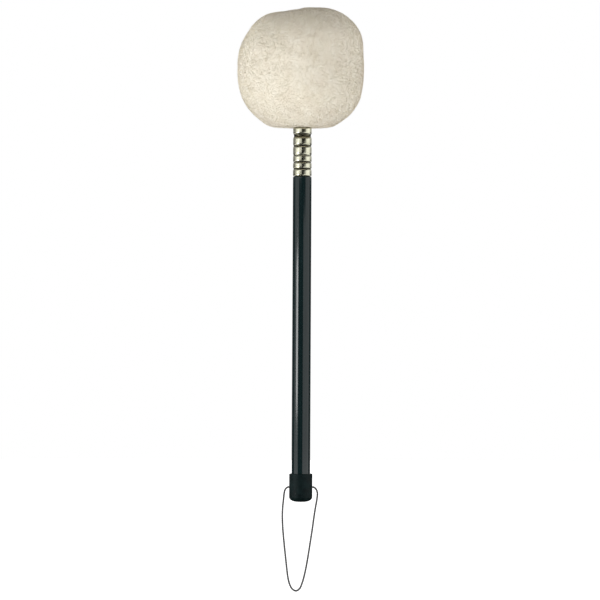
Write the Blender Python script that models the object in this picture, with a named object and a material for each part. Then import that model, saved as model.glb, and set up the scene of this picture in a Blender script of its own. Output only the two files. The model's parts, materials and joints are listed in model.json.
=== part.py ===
"""Gong mallet: a fleece-covered head on a black tube handle, with a ringed brass ferrule,
a push-on rubber cap at the butt and a thin cord loop to hang it by.

Units are metres. +Z runs along the handle towards the head, and the origin lies on the
handle's axis where the hand grips it. The pictured side faces -Y, with +X to its right.
"""

import math

import bmesh
import bpy
from mathutils import Vector

MM = 0.001

# Driving dimensions
TUBE_RADIUS = 7.95 * MM
TUBE_WALL = 1.2 * MM
GRIP_TO_BUTT = 90.0 * MM
GRIP_TO_FERRULE = 186.6 * MM
FERRULE_LENGTH = 41.1 * MM
HEAD_HALF_WIDTH = 53.9 * MM
HEAD_HALF_HEIGHT = 51.6 * MM
HEAD_SQUARENESS = 2.6
CORD_DIAMETER = 1.6 * MM
FIT_GAP = 0.3 * MM

# Heights along the handle
BUTT = -GRIP_TO_BUTT
CORD_HOLE = BUTT + 12.6 * MM
TUBE_TOP = GRIP_TO_FERRULE
FERRULE_FOOT = TUBE_TOP + FIT_GAP
LIP_TOP = FERRULE_FOOT + FERRULE_LENGTH
NECK_TOP = LIP_TOP + 7.2 * MM
CORE_FOOT = NECK_TOP + FIT_GAP
HEAD_CENTRE = LIP_TOP + 50.6 * MM

# End cap
CAP_RADIUS = 9.9 * MM
CAP_HEIGHT = 23.9 * MM
CAP_FLOOR = 4.2 * MM
CAP_FLAT_RADIUS = 3.0 * MM
CAP_CORNER_HEIGHT = 4.0 * MM
CAP_LIP = 0.5 * MM

# Handle tube
TUBE_BORE = TUBE_RADIUS - TUBE_WALL
TUBE_FOOT = BUTT + CAP_FLOOR + FIT_GAP
TUBE_ROUNDING = 0.5 * MM
CORD_HOLE_RADIUS = CORD_DIAMETER / 2 + FIT_GAP

# Ferrule: grooves between its beads, as height above its foot, half width and depth
FERRULE_GROOVES = (
    (6.0 * MM, 0.6 * MM, 0.5 * MM),
    (11.6 * MM, 0.6 * MM, 0.5 * MM),
    (17.5 * MM, 0.5 * MM, 0.35 * MM),
    (25.5 * MM, 0.7 * MM, 0.5 * MM),
    (34.1 * MM, 1.7 * MM, 0.75 * MM),
)
FERRULE_RADIUS = 7.95 * MM
BEAD_CROWN = 0.3 * MM
BEAD_STEPS = 5
SPIGOT_LENGTH = 28.0 * MM
NECK_RADIUS = 6.3 * MM
STUD_HOLE_DEPTH = 34.0 * MM

# Core and its fastening
STUD_RADIUS = 3.95 * MM
STUD_CLEARANCE = STUD_RADIUS + FIT_GAP
CORE_RADIUS = 30.0 * MM
CORE_BOSS_RADIUS = 11.0 * MM
CORE_BOSS_HEIGHT = 4.0 * MM
CORE_SHOULDER = 14.0 * MM
CORE_HEIGHT = 65.0 * MM
CORE_TOP = CORE_FOOT + CORE_HEIGHT
COUNTERBORE_RADIUS = 12.6 * MM
COUNTERBORE_DEPTH = 11.0 * MM
WASHER_RADIUS = 12.0 * MM
WASHER_THICKNESS = 1.6 * MM
NUT_ACROSS_FLATS = 13.0 * MM
NUT_HEIGHT = 6.5 * MM
WASHER_FOOT = CORE_TOP - COUNTERBORE_DEPTH + FIT_GAP
NUT_FOOT = WASHER_FOOT + WASHER_THICKNESS + FIT_GAP
STUD_FOOT = NECK_TOP - STUD_HOLE_DEPTH + 1.5 * MM
STUD_TOP = NUT_FOOT + NUT_HEIGHT + 1.5 * MM

# Cover and felt
COVER_THICKNESS = 9.5 * MM
COVER_BACKING = 1.0 * MM
INNER_HALF_WIDTH = HEAD_HALF_WIDTH - COVER_THICKNESS
INNER_HALF_HEIGHT = HEAD_HALF_HEIGHT - COVER_THICKNESS
SLEEVE_RADIUS = NECK_RADIUS + 0.35 * MM
SLEEVE_FOOT = LIP_TOP + 0.4 * MM
BOSS_GAP = 0.4 * MM
FELT_GAP = 0.8 * MM

# Neck tie, wound round the gathered sleeve of the cover
TIE_DIAMETER = 1.2 * MM
TIE_TURNS = 2.5
TIE_PITCH = 1.5 * MM
TIE_POINTS_PER_TURN = 16
TIE_RADIUS = SLEEVE_RADIUS + COVER_BACKING + FIT_GAP + TIE_DIAMETER / 2
TIE_FOOT = LIP_TOP + 1.4 * MM
GROOVE_RADIUS = TIE_RADIUS + TIE_DIAMETER / 2 + FIT_GAP
GROOVE_TOP = TIE_FOOT + TIE_TURNS * TIE_PITCH + TIE_DIAMETER / 2 + 0.35 * MM

# Loop cord: the points it hangs through, as (x, height above the cord hole)
LOOP_ROUTE = (
    (-3.0 * MM, 0.0 * MM),
    (-6.5 * MM, 0.0 * MM),
    (-9.9 * MM, 0.0 * MM),
    (-11.6 * MM, -0.5 * MM),
    (-13.2 * MM, -2.2 * MM),
    (-14.0 * MM, -5.0 * MM),
    (-14.6 * MM, -10.5 * MM),
    (-15.3 * MM, -18.0 * MM),
    (-15.5 * MM, -26.0 * MM),
    (-15.1 * MM, -35.0 * MM),
    (-14.4 * MM, -43.0 * MM),
    (-13.6 * MM, -51.0 * MM),
    (-12.6 * MM, -60.0 * MM),
    (-11.7 * MM, -68.0 * MM),
    (-10.7 * MM, -76.0 * MM),
    (-9.3 * MM, -82.0 * MM),
    (-7.1 * MM, -86.4 * MM),
    (-3.7 * MM, -88.3 * MM),
    (-0.4 * MM, -86.2 * MM),
    (1.5 * MM, -81.8 * MM),
    (3.2 * MM, -76.0 * MM),
    (4.9 * MM, -68.0 * MM),
    (6.3 * MM, -60.0 * MM),
    (7.7 * MM, -51.0 * MM),
    (8.9 * MM, -43.0 * MM),
    (10.1 * MM, -35.0 * MM),
    (11.3 * MM, -26.0 * MM),
    (12.5 * MM, -18.0 * MM),
    (13.8 * MM, -10.5 * MM),
    (14.2 * MM, -5.3 * MM),
    (13.3 * MM, -2.3 * MM),
    (11.7 * MM, -0.5 * MM),
    (9.9 * MM, 0.0 * MM),
    (6.5 * MM, 0.0 * MM),
    (3.0 * MM, 0.0 * MM),
)
LOOP_POINT_SPACING = 2.0 * CORD_DIAMETER
KNOT_HALF_LENGTH = 2.7 * MM
KNOT_RADIUS = 2.5 * MM

SEGMENTS = 40
INNER_SEGMENTS = 24


def clear_scene():
    for piece in list(bpy.data.objects):
        bpy.data.objects.remove(piece, do_unlink=True)


def make_material(name, colour, roughness, metallic=0.0):
    material = bpy.data.materials.new(name)
    material.use_nodes = True
    shader = material.node_tree.nodes["Principled BSDF"]
    shader.inputs["Base Color"].default_value = (*colour, 1.0)
    shader.inputs["Roughness"].default_value = roughness
    shader.inputs["Metallic"].default_value = metallic
    material.diffuse_color = (*colour, 1.0)
    return material


def fleece_material():
    return make_material("cream_fleece", (0.78, 0.71, 0.60), 0.95)


def felt_material():
    return make_material("grey_felt", (0.32, 0.31, 0.29), 0.95)


def wood_material():
    return make_material("turned_beech", (0.55, 0.36, 0.20), 0.6)


def steel_material():
    return make_material("zinc_plated_steel", (0.62, 0.62, 0.60), 0.35, 1.0)


def brass_material():
    return make_material("polished_brass", (0.80, 0.68, 0.38), 0.2, 1.0)


def enamel_material():
    return make_material("black_enamel", (0.020, 0.026, 0.028), 0.25)


def rubber_material():
    return make_material("black_rubber", (0.012, 0.018, 0.019), 0.6)


def cord_material():
    return make_material("grey_cord", (0.06, 0.06, 0.06), 0.85)


def thread_material():
    return make_material("waxed_thread", (0.70, 0.65, 0.56), 0.7)


def add_object(name, data, material, parent, location=(0.0, 0.0, 0.0)):
    piece = bpy.data.objects.new(name, data)
    bpy.context.scene.collection.objects.link(piece)
    piece.data.materials.append(material)
    piece.parent = parent
    piece.location = location
    return piece


def add_empty(name, parent=None, location=(0.0, 0.0, 0.0)):
    empty = bpy.data.objects.new(name, None)
    bpy.context.scene.collection.objects.link(empty)
    empty.parent = parent
    empty.location = location
    return empty


def arc(centre, radii, start, end, steps):
    """Points of an ellipse's arc from start to end degrees, both ends included."""
    points = []
    for step in range(steps + 1):
        angle = math.radians(start + (end - start) * step / steps)
        points.append((centre[0] + radii[0] * math.cos(angle), centre[1] + radii[1] * math.sin(angle)))
    return points


def turned_mesh(name, outline, closed=False, segments=SEGMENTS, sharp_angle=35.0):
    """Turn an outline of (radius, height) about Z: closed for a ring, else from axis to axis."""
    work = bmesh.new()
    points = [work.verts.new((radius, 0.0, height)) for radius, height in outline]
    pairs = list(zip(points, points[1:]))
    if closed:
        pairs.append((points[-1], points[0]))
    edges = [work.edges.new(pair) for pair in pairs]
    bmesh.ops.spin(
        work, geom=points + edges, axis=(0, 0, 1), cent=(0, 0, 0), steps=segments, angle=2 * math.pi
    )
    bmesh.ops.remove_doubles(work, verts=work.verts, dist=1e-6)
    bmesh.ops.recalc_face_normals(work, faces=work.faces)
    mesh = bpy.data.meshes.new(name)
    work.to_mesh(mesh)
    work.free()
    mesh.shade_smooth()
    mesh.set_sharp_from_angle(angle=math.radians(sharp_angle))
    return mesh


def cord_cutter(name, parent):
    """A rod along X through the cord hole, which cuts both walls."""
    work = bmesh.new()
    bmesh.ops.create_cone(
        work, cap_ends=True, segments=16, radius1=CORD_HOLE_RADIUS, radius2=CORD_HOLE_RADIUS, depth=4 * CAP_RADIUS
    )
    mesh = bpy.data.meshes.new(name)
    work.to_mesh(mesh)
    work.free()
    cutter = bpy.data.objects.new(name, mesh)
    bpy.context.scene.collection.objects.link(cutter)
    cutter.parent = parent
    cutter.location = (0.0, 0.0, CORD_HOLE)
    cutter.rotation_euler = (0.0, math.radians(90.0), 0.0)
    cutter.hide_render = True
    cutter.display_type = "WIRE"
    return cutter


def cut(piece, cutter):
    boolean = piece.modifiers.new("cut", "BOOLEAN")
    boolean.operation = "DIFFERENCE"
    boolean.solver = "EXACT"
    boolean.object = cutter


def make_end_cap(parent, cutter):
    """Rubber cup that slips over the tube, with a rounded bottom and a small flat at its centre."""
    socket = TUBE_RADIUS + FIT_GAP
    corner = arc(
        (CAP_FLAT_RADIUS, CAP_CORNER_HEIGHT), (CAP_RADIUS - CAP_FLAT_RADIUS, CAP_CORNER_HEIGHT), -90.0, 0.0, 7
    )
    outline = [(0.0, 0.0)] + corner
    outline += arc((CAP_RADIUS - CAP_LIP, CAP_HEIGHT - CAP_LIP), (CAP_LIP, CAP_LIP), 0.0, 90.0, 3)
    outline += [
        (socket, CAP_HEIGHT),
        (socket, CAP_FLOOR),
        (0.0, CAP_FLOOR),
    ]
    mesh = turned_mesh("end_cap", outline)
    cap = add_object("end_cap", mesh, rubber_material(), parent, (0.0, 0.0, BUTT))
    cut(cap, cutter)


def make_handle(parent, cutter):
    """Straight tube, drilled across for the cord, with its upper edge rounded over."""
    length = TUBE_TOP - TUBE_FOOT
    edge = TUBE_ROUNDING
    outline = [(TUBE_BORE, 0.0), (TUBE_RADIUS - edge, 0.0), (TUBE_RADIUS, edge)]
    outline += arc((TUBE_RADIUS - 1.6 * edge, length - 2.4 * edge), (1.6 * edge, 2.4 * edge), 0.0, 90.0, 4)
    outline += [(TUBE_BORE, length)]
    mesh = turned_mesh("handle", outline, closed=True)
    handle = add_object("handle", mesh, enamel_material(), parent, (0.0, 0.0, TUBE_FOOT))
    cut(handle, cutter)


def ferrule_beads():
    """The ferrule's outside, foot to lip: a crowned bead between each groove and the next."""
    points = []
    bottom = 0.0
    ends = [height for height, _, _ in FERRULE_GROOVES] + [FERRULE_LENGTH]
    widths = [half_width for _, half_width, _ in FERRULE_GROOVES] + [0.0]
    depths = [depth for _, _, depth in FERRULE_GROOVES] + [0.0]
    for end, half_width, depth in zip(ends, widths, depths):
        top = end - half_width
        for step in range(BEAD_STEPS + 1):
            across = 2.0 * step / BEAD_STEPS - 1.0
            radius = FERRULE_RADIUS - BEAD_CROWN * across**4
            points.append((radius, bottom + (top - bottom) * step / BEAD_STEPS))
        if depth:
            points.append((FERRULE_RADIUS - depth, end - 0.45 * half_width))
            points.append((FERRULE_RADIUS - depth, end + 0.45 * half_width))
        bottom = end + half_width
    return points


def make_ferrule(parent):
    """Turned brass: a spigot in the tube, ringed beads, a lip, and a neck that carries the head."""
    spigot = TUBE_BORE - FIT_GAP
    edge = 0.8 * MM
    neck_top = NECK_TOP - FERRULE_FOOT
    hole_floor = neck_top - STUD_HOLE_DEPTH
    outline = [
        (0.0, -SPIGOT_LENGTH),
        (spigot - edge, -SPIGOT_LENGTH),
        (spigot, edge - SPIGOT_LENGTH),
        (spigot, 0.0),
    ]
    outline += ferrule_beads()
    outline += [
        (NECK_RADIUS, FERRULE_LENGTH),
        (NECK_RADIUS, neck_top),
        (STUD_CLEARANCE, neck_top),
        (STUD_CLEARANCE, hole_floor),
        (0.0, hole_floor - 0.6 * STUD_CLEARANCE),
    ]
    mesh = turned_mesh("ferrule", outline, sharp_angle=50.0)
    add_object("ferrule", mesh, brass_material(), parent, (0.0, 0.0, FERRULE_FOOT))


def make_core(parent):
    """Turned wood barrel on a narrow boss, bored through, with a counterbore for washer and nut."""
    edge = 4.0 * MM
    outline = [(STUD_CLEARANCE, 0.0), (CORE_BOSS_RADIUS, 0.0)]
    outline += arc(
        (CORE_BOSS_RADIUS, CORE_BOSS_HEIGHT + CORE_SHOULDER),
        (CORE_RADIUS - CORE_BOSS_RADIUS, CORE_SHOULDER),
        -90.0,
        0.0,
        7,
    )
    outline += arc((CORE_RADIUS - edge, CORE_HEIGHT - edge), (edge, edge), 0.0, 90.0, 4)
    outline += [
        (COUNTERBORE_RADIUS, CORE_HEIGHT),
        (COUNTERBORE_RADIUS, CORE_HEIGHT - COUNTERBORE_DEPTH),
        (STUD_CLEARANCE, CORE_HEIGHT - COUNTERBORE_DEPTH),
    ]
    mesh = turned_mesh("core", outline, closed=True, segments=INNER_SEGMENTS)
    add_object("core", mesh, wood_material(), parent, (0.0, 0.0, CORE_FOOT))


def make_core_stud(parent):
    """Threaded rod, drawn plain, from the ferrule's hole to the nut."""
    edge = 0.8 * MM
    length = STUD_TOP - STUD_FOOT
    outline = [
        (0.0, 0.0),
        (STUD_RADIUS - edge, 0.0),
        (STUD_RADIUS, edge),
        (STUD_RADIUS, length - edge),
        (STUD_RADIUS - edge, length),
        (0.0, length),
    ]
    mesh = turned_mesh("core_stud", outline, segments=24)
    add_object("core_stud", mesh, steel_material(), parent, (0.0, 0.0, STUD_FOOT))


def make_core_washer(parent):
    edge = 0.3 * MM
    outline = [
        (STUD_CLEARANCE, 0.0),
        (WASHER_RADIUS, 0.0),
        (WASHER_RADIUS, WASHER_THICKNESS - edge),
        (WASHER_RADIUS - edge, WASHER_THICKNESS),
        (STUD_CLEARANCE, WASHER_THICKNESS),
    ]
    mesh = turned_mesh("core_washer", outline, closed=True, segments=INNER_SEGMENTS)
    add_object("core_washer", mesh, steel_material(), parent, (0.0, 0.0, WASHER_FOOT))


def make_core_nut(parent):
    """Hexagon with its corners chamfered, cut from a turned blank."""
    corner_radius = NUT_ACROSS_FLATS / math.sqrt(3.0)
    chamfer_radius = 0.47 * NUT_ACROSS_FLATS
    chamfer_height = 1.0 * MM
    blank = [
        (STUD_CLEARANCE, 0.0),
        (chamfer_radius, 0.0),
        (corner_radius + 0.3 * MM, chamfer_height),
        (corner_radius + 0.3 * MM, NUT_HEIGHT - chamfer_height),
        (chamfer_radius, NUT_HEIGHT),
        (STUD_CLEARANCE, NUT_HEIGHT),
    ]
    mesh = turned_mesh("core_nut", blank, closed=True, segments=24)
    nut = add_object("core_nut", mesh, steel_material(), parent, (0.0, 0.0, NUT_FOOT))

    work = bmesh.new()
    bmesh.ops.create_cone(
        work, cap_ends=True, segments=6, radius1=corner_radius, radius2=corner_radius, depth=2 * NUT_HEIGHT
    )
    hexagon_mesh = bpy.data.meshes.new("nut_hexagon")
    work.to_mesh(hexagon_mesh)
    work.free()
    hexagon = bpy.data.objects.new("nut_hexagon", hexagon_mesh)
    bpy.context.scene.collection.objects.link(hexagon)
    hexagon.parent = parent
    hexagon.location = (0.0, 0.0, NUT_FOOT + NUT_HEIGHT / 2)
    hexagon.hide_render = True
    hexagon.display_type = "WIRE"
    boolean = nut.modifiers.new("hexagon", "BOOLEAN")
    boolean.operation = "INTERSECT"
    boolean.solver = "EXACT"
    boolean.object = hexagon


def head_radius(height, half_width, half_height):
    """Radius of the squarish ball at a height above its centre."""
    share = min(1.0, abs(height) / half_height)
    return half_width * (1.0 - share**HEAD_SQUARENESS) ** (1.0 / HEAD_SQUARENESS)


def head_drop(radius, half_width, half_height):
    """How far below its centre the ball's surface lies at a radius."""
    return half_height * (1.0 - (radius / half_width) ** HEAD_SQUARENESS) ** (1.0 / HEAD_SQUARENESS)


def head_curve(half_width, half_height, low, high, steps):
    """Points up the ball's side from one height above its centre to another, closest at its poles."""
    start = math.asin(low / half_height)
    end = math.asin(high / half_height)
    points = []
    for step in range(steps + 1):
        height = half_height * math.sin(start + (end - start) * step / steps)
        points.append((head_radius(height, half_width, half_height), height))
    return points


def felt_curve(low, high, steps):
    """The felt's outside, which lies just inside the cover."""
    return head_curve(INNER_HALF_WIDTH - FELT_GAP, INNER_HALF_HEIGHT - FELT_GAP, low, high, steps)


def make_felt_base(parent):
    """Felt collar under the core's shoulder, round its boss."""
    boss = CORE_BOSS_RADIUS + FIT_GAP
    foot = -head_drop(boss, INNER_HALF_WIDTH - FELT_GAP, INNER_HALF_HEIGHT - FELT_GAP)
    shoulder_centre = CORE_FOOT + CORE_BOSS_HEIGHT + CORE_SHOULDER - HEAD_CENTRE
    top = shoulder_centre - FIT_GAP
    outline = felt_curve(foot, top, 7)
    outline += arc(
        (boss, shoulder_centre), (CORE_RADIUS - CORE_BOSS_RADIUS, CORE_SHOULDER + FIT_GAP), -1.5, -90.0, 7
    )
    mesh = turned_mesh("felt_base", outline, closed=True, segments=INNER_SEGMENTS)
    add_object("felt_base", mesh, felt_material(), parent, (0.0, 0.0, HEAD_CENTRE))


def make_felt_wrap(parent):
    """Felt rolled round the core's barrel."""
    inner = CORE_RADIUS + FIT_GAP
    foot = CORE_FOOT + CORE_BOSS_HEIGHT + CORE_SHOULDER - HEAD_CENTRE
    top = CORE_TOP - HEAD_CENTRE
    outline = felt_curve(foot, top, 9) + [(inner, top), (inner, foot)]
    mesh = turned_mesh("felt_wrap", outline, closed=True, segments=INNER_SEGMENTS)
    add_object("felt_wrap", mesh, felt_material(), parent, (0.0, 0.0, HEAD_CENTRE))


def make_felt_crown(parent):
    """Domed felt pad on top of the core, over the nut."""
    foot = CORE_TOP + FIT_GAP - HEAD_CENTRE
    outline = [(0.0, foot)] + felt_curve(foot, INNER_HALF_HEIGHT - FELT_GAP, 8)
    mesh = turned_mesh("felt_crown", outline, segments=INNER_SEGMENTS)
    add_object("felt_crown", mesh, felt_material(), parent, (0.0, 0.0, HEAD_CENTRE))


def ramp(start, end, value):
    """0 before start, 1 after end, and an even slope between, eased at both."""
    share = max(0.0, min(1.0, (value - start) / (end - start)))
    return share * share * (3.0 - 2.0 * share)


def bump(distance, reach):
    return math.exp(-((distance / reach) ** 2))


def stuffed_shape(point):
    """Move a point of the ideal ball to where the stuffed cover lies: it leans, bulges and dips."""
    x, y, z = point
    around = math.atan2(y, x)
    radius = math.hypot(x, y)
    free = ramp(GROOVE_RADIUS + 3.0 * MM, 24.0 * MM, radius) if z < 0.0 else 1.0

    lean = -1.85 * MM
    lean += 2.8 * MM * ramp(10.0 * MM, 34.0 * MM, z)
    lean += 1.1 * MM * ramp(-8.0 * MM, -35.0 * MM, z)

    lump = 1.0 + 0.007 * math.sin(2.0 * around) * math.cos(z / (16.0 * MM))
    lump += 0.005 * math.sin(3.0 * around + 1.1) * math.sin(z / (22.0 * MM) + 0.6)

    lift = 0.0
    if z > 0.0:
        lift -= 2.0 * MM * bump(math.hypot(x + 5.5 * MM, y), 8.0 * MM)
        lift += 1.3 * MM * bump(math.hypot(x - 26.0 * MM, 0.7 * y), 13.0 * MM)
        lift *= ramp(25.0 * MM, 42.0 * MM, z)
    else:
        lift -= 1.6 * MM * bump(radius - 26.0 * MM, 9.0 * MM)
        lift *= ramp(-25.0 * MM, -42.0 * MM, z)

    stretch = 1.0 + (lump - 1.0) * free
    return Vector((x * stretch + lean * free, y * stretch, z + lift * free))


def make_fleece_cover(parent):
    """Stuffed bag of thick fleece, gathered into a thin sleeve that the tie draws onto the neck."""
    boss = CORE_BOSS_RADIUS + BOSS_GAP
    sleeve_top = CORE_FOOT - BOSS_GAP - HEAD_CENTRE
    inner_foot = -head_drop(boss, INNER_HALF_WIDTH, INNER_HALF_HEIGHT)
    mouth = GROOVE_RADIUS + 3.4 * MM
    outer_foot = -head_drop(mouth, HEAD_HALF_WIDTH, HEAD_HALF_HEIGHT)

    inside = head_curve(INNER_HALF_WIDTH, INNER_HALF_HEIGHT, inner_foot, INNER_HALF_HEIGHT, 14)
    outline = list(reversed(inside))
    outline += [
        (boss, sleeve_top),
        (SLEEVE_RADIUS, sleeve_top),
        (SLEEVE_RADIUS, SLEEVE_FOOT - HEAD_CENTRE),
        (SLEEVE_RADIUS + COVER_BACKING, SLEEVE_FOOT - HEAD_CENTRE),
        (SLEEVE_RADIUS + COVER_BACKING, GROOVE_TOP - HEAD_CENTRE),
        (GROOVE_RADIUS, GROOVE_TOP - HEAD_CENTRE),
    ]
    outline += arc((mouth, outer_foot + 2.6 * MM), (3.4 * MM, 2.6 * MM), 180.0, 262.0, 4)
    outline += head_curve(HEAD_HALF_WIDTH, HEAD_HALF_HEIGHT, outer_foot, HEAD_HALF_HEIGHT, 22)
    mesh = turned_mesh("fleece_cover", outline, sharp_angle=60.0)

    middle_width = HEAD_HALF_WIDTH - COVER_THICKNESS / 2
    middle_height = HEAD_HALF_HEIGHT - COVER_THICKNESS / 2
    for vertex in mesh.vertices:
        radius = math.hypot(vertex.co.x, vertex.co.y)
        outward = (radius / middle_width) ** HEAD_SQUARENESS
        outward += (abs(vertex.co.z) / middle_height) ** HEAD_SQUARENESS
        if outward > 1.0:
            vertex.co = stuffed_shape(vertex.co)
    add_object("fleece_cover", mesh, fleece_material(), parent, (0.0, 0.0, HEAD_CENTRE))


def cord_curve(name, points, diameter, resolution):
    """A round cord with capped ends through a list of points."""
    curve = bpy.data.curves.new(name, "CURVE")
    curve.dimensions = "3D"
    curve.bevel_depth = diameter / 2
    curve.bevel_resolution = resolution
    curve.use_fill_caps = True
    spline = curve.splines.new("POLY")
    spline.points.add(len(points) - 1)
    for place, point in zip(spline.points, points):
        place.co = (*point, 1.0)
    spline.use_smooth = True
    return curve


def make_neck_tie(parent):
    """Waxed thread wound round the sleeve, one unbroken helix."""
    count = int(TIE_TURNS * TIE_POINTS_PER_TURN)
    points = []
    for step in range(count + 1):
        turn = step / TIE_POINTS_PER_TURN
        angle = 2.0 * math.pi * turn
        points.append((TIE_RADIUS * math.cos(angle), TIE_RADIUS * math.sin(angle), TIE_PITCH * turn))
    print(f"neck_tie: turns lie {(TIE_PITCH - TIE_DIAMETER) / MM:.2f} mm apart")
    curve = cord_curve("neck_tie", points, TIE_DIAMETER, 1)
    add_object("neck_tie", curve, thread_material(), parent, (0.0, 0.0, TIE_FOOT))


def smooth_route(route, spacing):
    """Points at an even spacing on the smooth curve through the route's own points."""
    padded = [2 * route[0] - route[1]] + route + [2 * route[-1] - route[-2]]
    dense = []
    for before, start, end, after in zip(padded, padded[1:], padded[2:], padded[3:]):
        for step in range(24):
            share = step / 24
            dense.append(
                0.5
                * (
                    2 * start
                    + (end - before) * share
                    + (2 * before - 5 * start + 4 * end - after) * share**2
                    + (3 * start - before - 3 * end + after) * share**3
                )
            )
    dense.append(route[-1])

    travelled = [0.0]
    for start, end in zip(dense, dense[1:]):
        travelled.append(travelled[-1] + (end - start).length)
    count = round(travelled[-1] / spacing)
    points = []
    index = 0
    for step in range(count + 1):
        target = travelled[-1] * step / count
        while index < len(dense) - 2 and travelled[index + 1] < target:
            index += 1
        share = (target - travelled[index]) / (travelled[index + 1] - travelled[index])
        points.append(dense[index].lerp(dense[index + 1], share))
    return points, travelled[-1]


def make_hanging_loop(pivot):
    """Limp cord that leaves both sides of the cap along the hinge line and hangs in a loop."""
    route = [Vector((x, 0.0, height)) for x, height in LOOP_ROUTE]
    points, length = smooth_route(route, LOOP_POINT_SPACING)
    print(f"hanging_loop: {length / MM:.1f} mm long, {len(points)} points")
    curve = cord_curve("hanging_loop", points, CORD_DIAMETER, 2)
    add_object("hanging_loop", curve, cord_material(), pivot)


def make_loop_knot(pivot):
    """The cord's two ends tied together inside the tube: a waisted lump, turned about the hinge line."""
    outline = [(0.0, -KNOT_HALF_LENGTH)]
    for step in range(9):
        along = 2.0 * step / 8 - 1.0
        fullness = math.sqrt(1.0 - 0.86 * along * along) - 0.12 * bump(along, 0.3)
        outline.append((KNOT_RADIUS * fullness, KNOT_HALF_LENGTH * along))
    outline.append((0.0, KNOT_HALF_LENGTH))
    mesh = turned_mesh("loop_knot", outline, segments=16)
    knot = add_object("loop_knot", mesh, cord_material(), pivot)
    knot.rotation_euler = (0.0, math.radians(90.0), 0.0)


def main():
    clear_scene()
    mallet = add_empty("mallet")
    cutter = cord_cutter("cord_hole_cutter", mallet)
    make_end_cap(mallet, cutter)
    make_handle(mallet, cutter)
    make_ferrule(mallet)
    make_core(mallet)
    make_core_stud(mallet)
    make_core_washer(mallet)
    make_core_nut(mallet)
    make_felt_base(mallet)
    make_felt_wrap(mallet)
    make_felt_crown(mallet)
    make_fleece_cover(mallet)
    make_neck_tie(mallet)
    pivot = add_empty("loop_pivot", mallet, (0.0, 0.0, CORD_HOLE))
    make_hanging_loop(pivot)
    make_loop_knot(pivot)


main()
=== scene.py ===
"""Gong mallet: the looks of its fleece head, ringed ferrule, enamelled handle, rubber cap and cord loop.

Units are metres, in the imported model's own frame: +Z along the handle towards the head, and the
origin on the handle's axis where the hand grips it.
"""

import json
import math

import bpy
import numpy as np
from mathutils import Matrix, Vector, kdtree, noise

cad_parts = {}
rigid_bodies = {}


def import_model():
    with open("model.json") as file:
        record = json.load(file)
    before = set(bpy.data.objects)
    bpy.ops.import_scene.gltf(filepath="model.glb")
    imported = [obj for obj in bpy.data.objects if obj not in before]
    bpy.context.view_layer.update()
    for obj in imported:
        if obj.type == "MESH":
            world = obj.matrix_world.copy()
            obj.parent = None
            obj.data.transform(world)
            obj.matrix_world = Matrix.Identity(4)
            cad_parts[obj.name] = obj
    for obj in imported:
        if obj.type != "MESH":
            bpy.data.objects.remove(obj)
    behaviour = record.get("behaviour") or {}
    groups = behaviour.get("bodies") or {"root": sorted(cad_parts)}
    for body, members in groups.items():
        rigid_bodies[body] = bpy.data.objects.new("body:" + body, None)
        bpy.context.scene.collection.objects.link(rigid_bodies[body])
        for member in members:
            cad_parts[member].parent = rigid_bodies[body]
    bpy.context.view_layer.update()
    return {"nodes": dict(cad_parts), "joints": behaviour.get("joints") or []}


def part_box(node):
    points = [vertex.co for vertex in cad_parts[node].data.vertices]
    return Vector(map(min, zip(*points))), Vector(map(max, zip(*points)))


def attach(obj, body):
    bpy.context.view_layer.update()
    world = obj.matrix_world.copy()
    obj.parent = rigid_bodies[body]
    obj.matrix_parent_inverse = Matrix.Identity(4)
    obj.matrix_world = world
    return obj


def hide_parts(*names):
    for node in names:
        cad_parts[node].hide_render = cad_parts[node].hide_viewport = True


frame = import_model()

MM = 0.001

# The picture: its scale at the mallet, and the (x, z) place at its centre
PICTURE_PIXELS = 600
PIXEL = 0.85 * MM
CAMERA_DISTANCE = 3.0
SENSOR = 36.0
PICTURE_CENTRE = (-1.4 * MM, 81.5 * MM)
CAMERA_ROLL = math.radians(-0.28)

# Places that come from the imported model
HANDLE_LOW, HANDLE_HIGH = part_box("handle")
FERRULE_LOW, FERRULE_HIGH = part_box("ferrule")
CAP_LOW, CAP_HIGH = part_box("end_cap")
LOOP_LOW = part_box("hanging_loop")[0]
LOOP_JOINT = frame["joints"][0]
CORD_HOLE = LOOP_JOINT["pos_m"][2]

# Sizes of the pieces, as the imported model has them
TUBE_RADIUS = HANDLE_HIGH.x
TUBE_WALL = 1.2 * MM
TUBE_TOP = HANDLE_HIGH.z
CAP_RADIUS = CAP_HIGH.x
FIT_GAP = 0.3 * MM
CORD_DIAMETER = 1.6 * MM
CORD_HOLE_RADIUS = CORD_DIAMETER / 2 + FIT_GAP
FERRULE_FOOT = TUBE_TOP + FIT_GAP
FERRULE_LENGTH = 41.1 * MM
LIP_TOP = FERRULE_FOOT + FERRULE_LENGTH
NECK_TOP = FERRULE_HIGH.z
HEAD_CENTRE = LIP_TOP + 50.6 * MM
HEAD_HALF_WIDTH = 53.9 * MM
HEAD_HALF_HEIGHT = 51.6 * MM
HEAD_SQUARENESS = 2.6

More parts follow.
